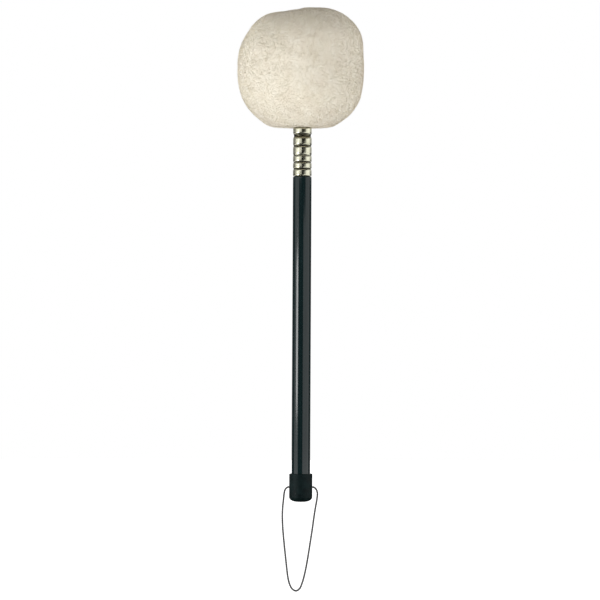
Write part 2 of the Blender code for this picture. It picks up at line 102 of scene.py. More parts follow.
# The loop's route: X, and height above the cord's hole
LOOP_ROUTE = (
    (-3.0 * MM, 0.0 * MM),
    (-6.5 * MM, 0.0 * MM),
    (-9.9 * MM, 0.0 * MM),
    (-11.6 * MM, -0.5 * MM),
    (-13.2 * MM, -2.2 * MM),
    (-14.0 * MM, -5.0 * MM),
    (-14.6 * MM, -10.5 * MM),
    (-15.3 * MM, -18.0 * MM),
    (-15.5 * MM, -26.0 * MM),
    (-15.1 * MM, -35.0 * MM),
    (-14.4 * MM, -43.0 * MM),
    (-13.6 * MM, -51.0 * MM),
    (-12.6 * MM, -60.0 * MM),
    (-11.7 * MM, -68.0 * MM),
    (-10.7 * MM, -76.0 * MM),
    (-9.3 * MM, -82.0 * MM),
    (-7.1 * MM, -86.4 * MM),
    (-3.7 * MM, -88.3 * MM),
    (-0.4 * MM, -86.2 * MM),
    (1.5 * MM, -81.8 * MM),
    (3.2 * MM, -76.0 * MM),
    (4.9 * MM, -68.0 * MM),
    (6.3 * MM, -60.0 * MM),
    (7.7 * MM, -51.0 * MM),
    (8.9 * MM, -43.0 * MM),
    (10.1 * MM, -35.0 * MM),
    (11.3 * MM, -26.0 * MM),
    (12.5 * MM, -18.0 * MM),
    (13.8 * MM, -10.5 * MM),
    (14.2 * MM, -5.3 * MM),
    (13.3 * MM, -2.3 * MM),
    (11.7 * MM, -0.5 * MM),
    (9.9 * MM, 0.0 * MM),
    (6.5 * MM, 0.0 * MM),
    (3.0 * MM, 0.0 * MM),
)


def deselect_everything():
    for piece in bpy.data.objects:
        piece.select_set(False)


def add_camera():
    lens = bpy.data.cameras.new("camera")
    lens.sensor_width = SENSOR
    lens.lens = SENSOR * CAMERA_DISTANCE / (PICTURE_PIXELS * PIXEL)
    camera = bpy.data.objects.new("camera", lens)
    bpy.context.scene.collection.objects.link(camera)
    camera.location = (PICTURE_CENTRE[0], -CAMERA_DISTANCE, PICTURE_CENTRE[1])
    camera.rotation_euler = (math.radians(90.0), CAMERA_ROLL, 0.0)
    bpy.context.scene.camera = camera


# Materials


class Nodes:
    """A material's nodes, added and joined in short lines."""

    def __init__(self, name):
        self.material = bpy.data.materials.new(name)
        self.material.use_nodes = True
        self.tree = self.material.node_tree
        self.shader = self.tree.nodes["Principled BSDF"]
        self.output = self.tree.nodes["Material Output"]

    def add(self, kind, **settings):
        node = self.tree.nodes.new(kind)
        for key, value in settings.items():
            if key in node.inputs:
                node.inputs[key].default_value = value
            else:
                setattr(node, key, value)
        return node

    def join(self, source, target):
        self.tree.links.new(source, target)

    def place(self):
        return self.add("ShaderNodeTexCoord").outputs["Object"]

    def stretched(self, scale):
        mapping = self.add("ShaderNodeMapping")
        mapping.inputs["Scale"].default_value = scale
        self.join(self.place(), mapping.inputs["Vector"])
        return mapping.outputs["Vector"]

    def noise(self, scale, detail=3.0, roughness=0.5, vector=None):
        node = self.add("ShaderNodeTexNoise", Scale=scale, Detail=detail, Roughness=roughness)
        self.join(self.place() if vector is None else vector, node.inputs["Vector"])
        return node.outputs["Fac"]

    def ramp(self, source, stops):
        node = self.add("ShaderNodeValToRGB")
        ramp = node.color_ramp
        while len(ramp.elements) < len(stops):
            ramp.elements.new(0.5)
        for element, (position, colour) in zip(ramp.elements, stops):
            element.position = position
            element.color = (*colour, 1.0)
        self.join(source, node.inputs["Fac"])
        return node.outputs["Color"]

    def spread(self, source, low, high, start=0.3, end=0.7):
        node = self.add("ShaderNodeMapRange")
        node.inputs["From Min"].default_value = start
        node.inputs["From Max"].default_value = end
        node.inputs["To Min"].default_value = low
        node.inputs["To Max"].default_value = high
        self.join(source, node.inputs["Value"])
        return node.outputs["Result"]

    def bump(self, height, strength, distance):
        node = self.add("ShaderNodeBump", Strength=strength, Distance=distance)
        self.join(height, node.inputs["Height"])
        self.join(node.outputs["Normal"], self.shader.inputs["Normal"])

    def set(self, **values):
        for key, value in values.items():
            self.shader.inputs[key.replace("_", " ")].default_value = value


def fleece_material():
    """Cream wool pile: soft mottling in streaks a few millimetres long."""
    nodes = Nodes("cream_fleece")
    mottle = nodes.noise(140.0, detail=4.0, vector=nodes.stretched((1.0, 1.0, 0.45)))
    colour = nodes.ramp(
        mottle,
        (
            (0.30, (0.85, 0.78, 0.65)),
            (0.50, (0.89, 0.83, 0.70)),
            (0.72, (0.93, 0.88, 0.76)),
        ),
    )
    nodes.join(colour, nodes.shader.inputs["Base Color"])
    nodes.set(Roughness=1.0, Sheen_Weight=0.25, Sheen_Roughness=0.6)
    return nodes.material


def pile_material():
    """Wool locks: cream with soft patches of tone, and painted shade that darkens them towards their roots.
    """
    nodes = Nodes("wool_pile")
    patches = nodes.noise(150.0, detail=4.0)
    tone = nodes.ramp(
        patches,
        (
            (0.30, (0.87, 0.80, 0.66)),
            (0.50, (0.91, 0.85, 0.72)),
            (0.72, (0.95, 0.90, 0.79)),
        ),
    )
    tint = nodes.ramp(
        nodes.noise(45.0, detail=2.0),
        (
            (0.38, (1.0, 0.975, 0.955)),
            (0.62, (0.985, 0.985, 0.93)),
        ),
    )
    tinted = nodes.add("ShaderNodeMix", data_type="RGBA", blend_type="MULTIPLY")
    tinted.inputs["Factor"].default_value = 1.0
    nodes.join(tone, tinted.inputs["A"])
    nodes.join(tint, tinted.inputs["B"])
    # Painted shade: the colour is dimmed to 0.86 at each lock's root and rises to full towards its tip
    level = nodes.add("ShaderNodeAttribute", attribute_name="pile_level")
    depth = nodes.spread(level.outputs["Fac"], 0.86, 1.0, 0.0, 0.9)
    shade = nodes.add("ShaderNodeVectorMath", operation="SCALE")
    nodes.join(tinted.outputs["Result"], shade.inputs[0])
    nodes.join(depth, shade.inputs["Scale"])
    nodes.join(shade.outputs["Vector"], nodes.shader.inputs["Base Color"])
    nodes.set(Roughness=1.0, Sheen_Weight=0.2, Sheen_Roughness=0.6)
    return nodes.material


def brass_material():
    """Pale polished brass with turning marks, a light tarnish in patches, and painted shade that darkens its
    grooves almost to black.
    """
    nodes = Nodes("polished_brass")
    tarnish = nodes.noise(90.0, detail=5.0)
    colour = nodes.ramp(
        tarnish,
        (
            (0.35, (0.55, 0.54, 0.40)),
            (0.60, (0.72, 0.71, 0.56)),
        ),
    )
    # Painted shade: the grooves are darkened towards a near-black brown, more the deeper they sink below the
    # beads' crowns
    groove = nodes.add("ShaderNodeAttribute", attribute_name="groove_depth")
    painted_groove_shade = nodes.add("ShaderNodeMix", data_type="RGBA")
    nodes.join(groove.outputs["Fac"], painted_groove_shade.inputs["Factor"])
    nodes.join(colour, painted_groove_shade.inputs["A"])
    painted_groove_shade.inputs["B"].default_value = (0.075, 0.070, 0.045, 1.0)
    nodes.join(painted_groove_shade.outputs["Result"], nodes.shader.inputs["Base Color"])
    turning = nodes.noise(2500.0, detail=2.0, vector=nodes.stretched((0.02, 0.02, 1.0)))
    nodes.join(nodes.spread(turning, 0.14, 0.24), nodes.shader.inputs["Roughness"])
    nodes.set(Metallic=1.0)
    nodes.bump(turning, 0.15, 0.02 * MM)
    return nodes.material


def enamel_material():
    """Near-black enamel, glossy, with faint orange peel and lengthwise handling marks."""
    nodes = Nodes("black_enamel")
    marks = nodes.noise(900.0, detail=4.0, vector=nodes.stretched((1.0, 1.0, 0.03)))
    colour = nodes.ramp(
        marks,
        (
            (0.40, (0.0050, 0.0130, 0.0140)),
            (0.75, (0.0085, 0.0180, 0.0190)),
        ),
    )
    nodes.join(colour, nodes.shader.inputs["Base Color"])
    smears = nodes.noise(60.0, detail=4.0, vector=nodes.stretched((1.0, 1.0, 0.25)))
    nodes.join(nodes.spread(smears, 0.06, 0.10), nodes.shader.inputs["Roughness"])
    nodes.bump(nodes.noise(700.0, detail=2.0), 0.10, 0.02 * MM)
    return nodes.material


def rubber_material():
    """Moulded black rubber, matt, with a faint bloom and scuffs."""
    nodes = Nodes("black_rubber")
    bloom = nodes.noise(160.0, detail=5.0)
    colour = nodes.ramp(
        bloom,
        (
            (0.35, (0.0015, 0.0065, 0.0070)),
            (0.70, (0.0060, 0.0165, 0.0172)),
        ),
    )
    nodes.join(colour, nodes.shader.inputs["Base Color"])
    nodes.join(nodes.spread(bloom, 0.42, 0.62), nodes.shader.inputs["Roughness"])
    nodes.set(Specular_IOR_Level=0.15)
    nodes.bump(nodes.noise(2200.0, detail=3.0), 0.25, 0.03 * MM)
    return nodes.material


def cord_material():
    """Dark grey braided yarn."""
    nodes = Nodes("grey_cord")
    fibres = nodes.noise(2600.0, detail=3.0)
    colour = nodes.ramp(
        fibres,
        (
            (0.30, (0.048, 0.048, 0.049)),
            (0.70, (0.120, 0.119, 0.118)),
        ),
    )
    nodes.join(colour, nodes.shader.inputs["Base Color"])
    nodes.set(Roughness=0.85, Sheen_Weight=0.15)
    nodes.bump(fibres, 0.3, 0.05 * MM)
    return nodes.material


def felt_material():
    """Pressed grey felt with loose darker fibres."""
    nodes = Nodes("grey_felt")
    fibres = nodes.noise(900.0, detail=6.0, roughness=0.7)
    colour = nodes.ramp(
        fibres,
        (
            (0.35, (0.20, 0.195, 0.18)),
            (0.65, (0.42, 0.41, 0.38)),
        ),
    )
    nodes.join(colour, nodes.shader.inputs["Base Color"])
    nodes.set(Roughness=1.0, Sheen_Weight=0.3)
    nodes.bump(fibres, 0.5, 0.3 * MM)
    return nodes.material


def beech_material():
    """Turned beech: fine lengthwise grain with short dark flecks."""
    nodes = Nodes("turned_beech")
    grain = nodes.noise(400.0, detail=6.0, vector=nodes.stretched((1.0, 1.0, 0.06)))
    colour = nodes.ramp(
        grain,
        (
            (0.30, (0.42, 0.25, 0.13)),
            (0.55, (0.60, 0.40, 0.23)),
            (0.75, (0.66, 0.47, 0.29)),
        ),
    )
    nodes.join(colour, nodes.shader.inputs["Base Color"])
    nodes.join(nodes.spread(grain, 0.5, 0.7), nodes.shader.inputs["Roughness"])
    nodes.bump(grain, 0.2, 0.1 * MM)
    return nodes.material


def plated_steel_material():
    """Zinc-plated steel, dull in patches."""
    nodes = Nodes("plated_steel")
    patches = nodes.noise(500.0, detail=4.0)
    colour = nodes.ramp(
        patches,
        (
            (0.35, (0.50, 0.50, 0.50)),
            (0.65, (0.70, 0.70, 0.68)),
        ),
    )
    nodes.join(colour, nodes.shader.inputs["Base Color"])
    nodes.join(nodes.spread(patches, 0.25, 0.45), nodes.shader.inputs["Roughness"])
    nodes.set(Metallic=1.0)
    return nodes.material


def thread_material():
    """Waxed linen thread."""
    nodes = Nodes("waxed_thread")
    twist = nodes.noise(1800.0, detail=3.0)
    colour = nodes.ramp(
        twist,
        (
            (0.30, (0.55, 0.49, 0.38)),
            (0.70, (0.76, 0.71, 0.60)),
        ),
    )
    nodes.join(colour, nodes.shader.inputs["Base Color"])
    nodes.set(Roughness=0.6)
    nodes.bump(twist, 0.3, 0.05 * MM)
    return nodes.material


# Turned pieces

POINT_SIZE = 1.0 * MM
MERGE_DISTANCE = 0.001 * MM
TURN_STEPS = 128
COVER_STEPS = 176
INNER_STEPS = 24
OUTER_STEPS = 84
DRILL_SIDES = 48
DRILL_LENGTH = 30.0 * MM
HOLE_MARGIN = 3.0 * MM


def arc(centre, radii, start, end, steps):
    """Points of an ellipse's arc from start to end degrees, both ends included."""
    points = []
    for step in range(steps + 1):
        angle = math.radians(start + (end - start) * step / steps)
        points.append((centre[0] + radii[0] * math.cos(angle), centre[1] + radii[1] * math.sin(angle)))
    return points


def settle_order(mesh):
    """Sort a mesh's points and faces by place: a spin or a cut makes them in a new order each run."""
    points = [tuple(vertex.co) for vertex in mesh.vertices]
    order = sorted(range(len(points)), key=points.__getitem__)
    rank = {index: place for place, index in enumerate(order)}
    faces = []
    for polygon in mesh.polygons:
        ring = [rank[index] for index in polygon.vertices]
        start = ring.index(min(ring))
        faces.append(ring[start:] + ring[:start])
    mesh.clear_geometry()
    mesh.from_pydata([points[index] for index in order], [], sorted(faces))


def turn(name, outline, steps, closed=False):
    """Draw an outline of (radius, height) by extruding a corner, and spin it about the handle's axis."""
    deselect_everything()
    bpy.ops.mesh.primitive_plane_add(size=POINT_SIZE, location=(outline[0][0], 0.0, outline[0][1]))
    piece = bpy.context.object
    piece.name = name
    piece.data.name = name
    bpy.ops.object.transform_apply(location=True, rotation=False, scale=False)
    bpy.ops.object.mode_set(mode="EDIT")
    bpy.ops.mesh.select_all(action="SELECT")
    bpy.ops.mesh.merge(type="CENTER")
    for start, end in zip(outline, outline[1:]):
        move = (end[0] - start[0], 0.0, end[1] - start[1])
        bpy.ops.mesh.extrude_region_move(TRANSFORM_OT_translate={"value": move})
    if closed:
        move = (outline[0][0] - outline[-1][0], 0.0, outline[0][1] - outline[-1][1])
        bpy.ops.mesh.extrude_region_move(TRANSFORM_OT_translate={"value": move})
    bpy.ops.mesh.select_all(action="SELECT")
    bpy.ops.mesh.remove_doubles(threshold=MERGE_DISTANCE)
    bpy.ops.mesh.select_all(action="SELECT")
    bpy.ops.mesh.spin(steps=steps, angle=math.tau, center=(0.0, 0.0, 0.0), axis=(0.0, 0.0, 1.0))
    bpy.ops.mesh.select_all(action="SELECT")
    bpy.ops.mesh.remove_doubles(threshold=MERGE_DISTANCE)
    bpy.ops.mesh.normals_make_consistent(inside=False)
    bpy.ops.object.mode_set(mode="OBJECT")
    settle_order(piece.data)
    return piece


def finish_piece(piece, material, body, replaced, smooth_degrees=40.0):
    """Smooth a piece and paint it, attach it to its body, and hide the solids that it replaces."""
    deselect_everything()
    piece.select_set(True)
    bpy.context.view_layer.objects.active = piece
    bpy.ops.object.shade_smooth_by_angle(angle=math.radians(smooth_degrees))
    piece.data.materials.clear()
    piece.data.materials.append(material)
    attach(piece, body)
    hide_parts(*replaced)


def cut_cord_hole(piece):
    """Bore the cord's hole through both walls of a piece."""
    deselect_everything()
    bpy.ops.mesh.primitive_cylinder_add(
        vertices=DRILL_SIDES,
        radius=CORD_HOLE_RADIUS,
        depth=DRILL_LENGTH,
        location=(0.0, 0.0, CORD_HOLE),
        rotation=(0.0, math.radians(90.0), 0.0),
    )
    drill = bpy.context.object
    hole = piece.modifiers.new("cord_hole", "BOOLEAN")
    hole.operation = "DIFFERENCE"
    hole.solver = "EXACT"
    hole.object = drill
    deselect_everything()
    piece.select_set(True)
    bpy.context.view_layer.objects.active = piece
    bpy.ops.object.modifier_apply(modifier=hole.name)
    bpy.data.objects.remove(drill, do_unlink=True)
    settle_order(piece.data)


def make_handle():
    """The enamelled tube, with soft edges at both ends and the cord's holes."""
    edge = 0.5 * MM
    shoulder = (1.6 * edge, 2.4 * edge)
    below_shoulder = 3.4 * edge
    foot = HANDLE_LOW.z
    outline = [(TUBE_RADIUS - TUBE_WALL, foot)]
    outline += arc((TUBE_RADIUS - edge, foot + edge), (edge, edge), -90.0, 0.0, steps=4)
    supports = (
        foot + 2.0 * edge,
        CORD_HOLE - HOLE_MARGIN,
        CORD_HOLE + HOLE_MARGIN,
        TUBE_TOP - below_shoulder,
    )
    outline += [(TUBE_RADIUS, height) for height in supports]
    outline += arc((TUBE_RADIUS - shoulder[0], TUBE_TOP - shoulder[1]), shoulder, 0.0, 90.0, steps=10)
    outline += [(TUBE_RADIUS - TUBE_WALL, TUBE_TOP)]
    handle = turn("handle_tube", outline, TURN_STEPS, closed=True)
    cut_cord_hole(handle)
    finish_piece(handle, enamel_material(), "mallet", ["handle"])


def make_end_cap():
    """The rubber cap: rounded bottom, soft mouth, and a cord hole through each side."""
    flat = 3.0 * MM
    corner = 4.0 * MM
    lip = 0.5 * MM
    bottom_wall = 4.2 * MM
    socket = TUBE_RADIUS + FIT_GAP
    floor = CAP_LOW.z + bottom_wall
    outline = [(0.0, CAP_LOW.z)]
    outline += arc((flat, CAP_LOW.z + corner), (CAP_RADIUS - flat, corner), -90.0, 0.0, steps=16)
    supports = (
        CAP_LOW.z + corner + lip,
        CORD_HOLE - HOLE_MARGIN,
        CORD_HOLE + HOLE_MARGIN,
        CAP_HIGH.z - 2.0 * lip,
    )
    outline += [(CAP_RADIUS, level) for level in supports]
    outline += arc((CAP_RADIUS - lip, CAP_HIGH.z - lip), (lip, lip), 0.0, 90.0, steps=6)
    outline += [(socket, CAP_HIGH.z), (socket, floor), (0.0, floor)]
    cap = turn("rubber_cap", outline, TURN_STEPS)
    cut_cord_hole(cap)
    finish_piece(cap, rubber_material(), "mallet", ["end_cap"])


# Each groove: its height above the ferrule's foot, half its width, and its depth
FERRULE_GROOVES = (
    (6.0 * MM, 0.6 * MM, 0.5 * MM),
    (11.6 * MM, 0.6 * MM, 0.5 * MM),
    (17.5 * MM, 0.5 * MM, 0.35 * MM),
    (25.5 * MM, 0.7 * MM, 0.5 * MM),
    (34.1 * MM, 1.7 * MM, 0.75 * MM),
)
BEAD_CROWN = 0.3 * MM
BEAD_FLATNESS = 8
BEAD_STEPS = 16
GROOVE_FLOOR_SHARE = 0.45
# Painted shade in the grooves: how far below the beads' crowns it starts, and the depth over which it
# darkens to full
GROOVE_SHADE_START = 0.18 * MM
GROOVE_SHADE_FADE = 0.25 * MM


def ferrule_beads():
    """Points up the ferrule's outside: five crowned beads, each with a groove above it, and the lip."""
    points = []
    bottom = 0.0
    ends = [height for height, _, _ in FERRULE_GROOVES] + [FERRULE_LENGTH]
    widths = [half_width for _, half_width, _ in FERRULE_GROOVES] + [0.0]
    depths = [depth for _, _, depth in FERRULE_GROOVES] + [0.0]
    for end, half_width, depth in zip(ends, widths, depths):
        top = end - half_width
        for step in range(BEAD_STEPS + 1):
            across = 2.0 * step / BEAD_STEPS - 1.0
            radius = TUBE_RADIUS - BEAD_CROWN * across**BEAD_FLATNESS
            points.append((radius, FERRULE_FOOT + bottom + (top - bottom) * step / BEAD_STEPS))
        if depth:
            points.append((TUBE_RADIUS - depth, FERRULE_FOOT + end - GROOVE_FLOOR_SHARE * half_width))
            points.append((TUBE_RADIUS - depth, FERRULE_FOOT + end + GROOVE_FLOOR_SHARE * half_width))
        bottom = end + half_width
    return points


def make_ferrule():
    """The turned brass ferrule, with its spigot in the tube and its neck under the head."""
    spigot = TUBE_RADIUS - TUBE_WALL - FIT_GAP
    neck = 6.3 * MM
    bore = 4.25 * MM
    hole_depth = 34.0 * MM
    hole_floor = NECK_TOP - hole_depth
    drill_point = 0.6 * bore
    outline = [(0.0, FERRULE_LOW.z), (spigot, FERRULE_LOW.z), (spigot, FERRULE_FOOT)]
    outline += ferrule_beads()
    outline += [
        (neck, LIP_TOP),
        (neck, NECK_TOP),
        (bore, NECK_TOP),
        (bore, hole_floor),
        (0.0, hole_floor - drill_point),
    ]
    ferrule = turn("ringed_ferrule", outline, TURN_STEPS)
    # Painted shade: each point's share of the near-black groove shade, growing with how far it sinks below
    # the beads' crowns
    depth = ferrule.data.attributes.new("groove_depth", "FLOAT", "POINT")
    for vertex, value in zip(ferrule.data.vertices, depth.data):
        sunk = TUBE_RADIUS - math.hypot(vertex.co.x, vertex.co.y) - GROOVE_SHADE_START
        value.value = max(0.0, min(1.0, sunk / GROOVE_SHADE_FADE))
    finish_piece(ferrule, brass_material(), "mallet", ["ferrule"], smooth_degrees=50.0)


# Cord loop

ROUTE_STEPS = 24


def smooth_route(route, spacing):
    """Points at an even spacing on the smooth curve through the route's own points."""
    padded = [2 * route[0] - route[1]] + route + [2 * route[-1] - route[-2]]
    dense = []
    for before, start, end, after in zip(padded, padded[1:], padded[2:], padded[3:]):
        for step in range(ROUTE_STEPS):
            share = step / ROUTE_STEPS
            dense.append(
                0.5
                * (
                    2 * start
                    + (end - before) * share
                    + (2 * before - 5 * start + 4 * end - after) * share**2
                    + (3 * start - before - 3 * end + after) * share**3
                )
            )
    dense.append(route[-1])
    line = np.array(dense)
    travelled = np.concatenate([[0.0], np.cumsum(np.linalg.norm(np.diff(line, axis=0), axis=1))])
    count = round(travelled[-1] / spacing)
    wanted = np.linspace(0.0, travelled[-1], count + 1)
    points = np.stack([np.interp(wanted, travelled, line[:, axis]) for axis in range(3)], axis=1)
    return points, travelled[-1]


def strand_rings(line, sideways, outward, half_width, half_height, sides):
    """Oval rings of points along a line, one ring a point."""
    turns = np.linspace(0.0, 2.0 * np.pi, sides, endpoint=False)
    across = np.cos(turns)[None, :, None] * sideways[:, None, :] * half_width
    up = np.sin(turns)[None, :, None] * outward[:, None, :] * half_height
    return line[:, None, :] + across + up


def tube_mesh(name, strands):
    """One mesh of several closed tubes, each given as an array of rings."""
    places = []
    faces = []
    base = 0
    for rings in strands:
        count, sides = rings.shape[:2]
        places.append(rings.reshape(-1, 3))
        for ring in range(count - 1):
            row = base + ring * sides
            for side in range(sides):
                after = (side + 1) % sides
                faces.append((row + side, row + after, row + sides + after, row + sides + side))
        faces.append(tuple(base + side for side in reversed(range(sides))))
        faces.append(tuple(base + (count - 1) * sides + side for side in range(sides)))
        base += count * sides
    mesh = bpy.data.meshes.new(name)
    mesh.from_pydata(np.concatenate(places).tolist(), [], faces)
    piece = bpy.data.objects.new(name, mesh)
    bpy.context.scene.collection.objects.link(piece)
    deselect_everything()
    piece.select_set(True)
    bpy.context.view_layer.objects.active = piece
    bpy.ops.object.mode_set(mode="EDIT")
    bpy.ops.mesh.select_all(action="SELECT")
    bpy.ops.mesh.normals_make_consistent(inside=False)
    bpy.ops.object.mode_set(mode="OBJECT")
    return piece


BRAID_PITCH = 6.0 * MM
BRAID_POINT_SPACING = 0.375 * MM
BRAID_YARNS_EACH_WAY = 4
BRAID_RADIUS = 0.57 * MM
BRAID_RISE = 0.13 * MM
YARN_HALF_WIDTH = 0.38 * MM
YARN_HALF_HEIGHT = 0.17 * MM
YARN_SIDES = 6


def make_loop():
    """The cord: a diamond braid of eight yarns along the loop's route."""
    route = [np.array((x, 0.0, CORD_HOLE + height)) for x, height in LOOP_ROUTE]
    path, length = smooth_route(route, BRAID_POINT_SPACING)
    forward = np.gradient(path, axis=0)
    forward /= np.linalg.norm(forward, axis=1)[:, None]
    beside = np.array((0.0, 1.0, 0.0)) + np.zeros_like(forward)
    above = np.cross(forward, beside)
    wound = 2.0 * np.pi * np.linspace(0.0, length, len(path)) / BRAID_PITCH
    yarns = []
    for way in (1, -1):
        radius = (BRAID_RADIUS + way * BRAID_RISE * np.cos(BRAID_YARNS_EACH_WAY * wound))[:, None]
        for yarn in range(BRAID_YARNS_EACH_WAY):
            angle = (way * wound + 2.0 * np.pi * yarn / BRAID_YARNS_EACH_WAY)[:, None]
            outward = np.cos(angle) * beside + np.sin(angle) * above
            line = path + radius * outward
            along = np.gradient(line, axis=0)
            along /= np.linalg.norm(along, axis=1)[:, None]
            sideways = np.cross(outward, along)
            yarns.append(
                strand_rings(line, sideways, outward, YARN_HALF_WIDTH, YARN_HALF_HEIGHT, YARN_SIDES)
            )
    loop = tube_mesh("cord_loop", yarns)
    finish_piece(loop, cord_material(), "loop", ["hanging_loop"], smooth_degrees=60.0)


TIE_DIAMETER = 1.2 * MM
TIE_TURNS = 2.5
TIE_PITCH = 1.5 * MM
TIE_RADIUS = 8.55 * MM
TIE_FOOT = LIP_TOP + 1.4 * MM
TIE_STEPS_A_TURN = 120
TIE_PLIES = 3
PLY_TWIST = 2.4 * MM
PLY_OFFSET = 0.27 * TIE_DIAMETER
PLY_RADIUS = 0.23 * TIE_DIAMETER
PLY_SIDES = 6


def make_neck_tie():
    """The waxed thread round the cover's neck: three plies in one unbroken helix."""
    turns = np.linspace(0.0, TIE_TURNS, int(TIE_TURNS * TIE_STEPS_A_TURN) + 1)
    angle = 2.0 * np.pi * turns
    outward = np.stack([np.cos(angle), np.sin(angle), np.zeros_like(angle)], axis=1)
    upward = np.array((0.0, 0.0, 1.0)) + np.zeros_like(outward)
    middle = TIE_RADIUS * outward + (TIE_FOOT + TIE_PITCH * turns)[:, None] * upward
    twist = 2.0 * np.pi * (TIE_RADIUS * angle) / PLY_TWIST
    plies = []
    for ply in range(TIE_PLIES):
        lay = (twist + 2.0 * np.pi * ply / TIE_PLIES)[:, None]
        line = middle + PLY_OFFSET * (np.cos(lay) * outward + np.sin(lay) * upward)
        plies.append(strand_rings(line, upward, outward, PLY_RADIUS, PLY_RADIUS, PLY_SIDES))
    tie = tube_mesh("neck_thread", plies)
    finish_piece(tie, thread_material(), "mallet", ["neck_tie"], smooth_degrees=60.0)


# Head

PILE_DEPTH = 0.8 * MM
COVER_THICKNESS = 9.5 * MM
INNER_HALF_WIDTH = HEAD_HALF_WIDTH - COVER_THICKNESS
INNER_HALF_HEIGHT = HEAD_HALF_HEIGHT - COVER_THICKNESS
BACKING_HALF_WIDTH = HEAD_HALF_WIDTH - PILE_DEPTH
BACKING_HALF_HEIGHT = HEAD_HALF_HEIGHT - PILE_DEPTH
BOSS_RADIUS = 11.4 * MM
SLEEVE_TOP = NECK_TOP - 0.1 * MM
SLEEVE_RADIUS = 6.65 * MM
SLEEVE_FOOT = LIP_TOP + 0.4 * MM
SLEEVE_WALL = 1.0 * MM
GROOVE_RADIUS = 9.45 * MM
GROOVE_TOP = LIP_TOP + 6.1 * MM
MOUTH_LIP = (3.4 * MM, 2.6 * MM)
GATHER_PLEATS = 26
PLEAT_WANDER = 2.0
PLEAT_DEPTH = 0.9 * MM
PLEAT_RADIUS = 15.0 * MM
PLEAT_REACH = 8.0 * MM
PLEAT_HEIGHTS = (-30.0 * MM, -44.0 * MM)

# How the stuffed cover leaves the ideal ball. A pair holds where a change starts and where it is whole:
# two radii for FREE_RADII, and two heights above the head's centre for the others
FREE_RADII = (GROOVE_RADIUS + 3.0 * MM, 24.0 * MM)
LEAN = -1.85 * MM
CROWN_LEAN = 2.8 * MM
CROWN_LEAN_HEIGHTS = (10.0 * MM, 34.0 * MM)
FOOT_LEAN = 1.1 * MM
FOOT_LEAN_HEIGHTS = (-8.0 * MM, -35.0 * MM)
TWO_SIDED_LUMP = 0.007
TWO_SIDED_HEIGHT = 16.0 * MM
THREE_SIDED_LUMP = 0.005
THREE_SIDED_HEIGHT = 22.0 * MM
THREE_SIDED_TURN = 1.1
THREE_SIDED_RISE = 0.6
FOOT_LIFT = -1.6 * MM
FOOT_RING_RADIUS = 26.0 * MM
FOOT_RING_REACH = 9.0 * MM
FOOT_LIFT_HEIGHTS = (-25.0 * MM, -42.0 * MM)
CROWN_DENT_HEIGHTS = (25.0 * MM, 42.0 * MM)

# Each dent or swell of the crown: its X, how much of Y counts, its reach, and its height
CROWN_DENTS = (
    (-16.0 * MM, 0.3, 12.0 * MM, -2.5 * MM),
    (-4.5 * MM, 0.2, 4.5 * MM, -1.2 * MM),
    (26.0 * MM, 0.7, 13.0 * MM, 1.3 * MM),
)

# Each set of hills: their height and their size
HILLS = ((0.35 * MM, 9.0 * MM), (0.08 * MM, 4.0 * MM))

PILE_BANDS = ("pile_neck", "pile_lower", "pile_middle", "pile_upper", "pile_crown")
PILE_SEED = 7
LAY_SEED = 3
LAY_SIZE = 34.0 * MM
LAY_SWING = 1.3
LAY_WAVES = 6
LAY_WAVE_SIZES = (0.7, 1.5)
LAY_HEIGHT = 1.6
LAY_SPREAD = 0.7
CLUMP_COUNT = 8000
CLUMP_HEIGHTS = (0.85, 1.1)
FIBRE_COUNT = 96000
FIBRE_WIDTH = 0.21 * MM
FIBRE_WIDTHS = (0.7, 1.25)
FIBRE_HEIGHTS = (0.8, 1.15)
FIBRE_LEANS = (0.4 * MM, 0.9 * MM)
FIBRE_SINK = 0.25 * MM
SHORTEST = 1e-12
OFF_UPRIGHT = 1e-6
FIBRE_SIDES = 3
KNEE_RISE = 0.62
KNEE_LEAN = 0.35
KNEE_PULL = 0.08
KNEE_TAPER = 0.75
TIP_PULL = 0.2

# A lock's corners run from three at its root and three at its knee to its tip
FIBRE_LEVELS = (0.0, 0.0, 0.0, 0.6, 0.6, 0.6, 1.0)
FIBRE_ROOT_FACES = ((0, 2, 1),)
FIBRE_SIDE_FACES = ((0, 1, 3), (1, 4, 3), (1, 2, 4), (2, 5, 4), (2, 0, 5), (0, 3, 5))
FIBRE_TIP_FACES = ((3, 4, 6), (4, 5, 6), (5, 3, 6))
FIBRE_FACES = FIBRE_ROOT_FACES + FIBRE_SIDE_FACES + FIBRE_TIP_FACES


def head_radius(height, half_width, half_height):
    """Radius of the squarish ball at a height above its centre."""
    share = min(1.0, abs(height) / half_height)
    return half_width * (1.0 - share**HEAD_SQUARENESS) ** (1.0 / HEAD_SQUARENESS)


def head_drop(radius, half_width, half_height):
    """How far below its centre the ball's surface lies at a radius."""
    return half_height * (1.0 - (radius / half_width) ** HEAD_SQUARENESS) ** (1.0 / HEAD_SQUARENESS)


def head_curve(half_width, half_height, low, high, steps):
    """Points up the ball's side, closest at its poles."""
    start = math.asin(low / half_height)
    end = math.asin(high / half_height)
    points = []
    for step in range(steps + 1):
        height = half_height * math.sin(start + (end - start) * step / steps)
        points.append((head_radius(height, half_width, half_height), HEAD_CENTRE + height))
    return points


def ramp(start, end, value):
    """A smooth step of value: 0 up to start, and 1 from end on."""
    share = max(0.0, min(1.0, (value - start) / (end - start)))
    return share * share * (3.0 - 2.0 * share)


def bump(distance, reach):
    """A smooth hump: 1 at no distance, and close to 0 at twice the reach."""
    return math.exp(-((distance / reach) ** 2))


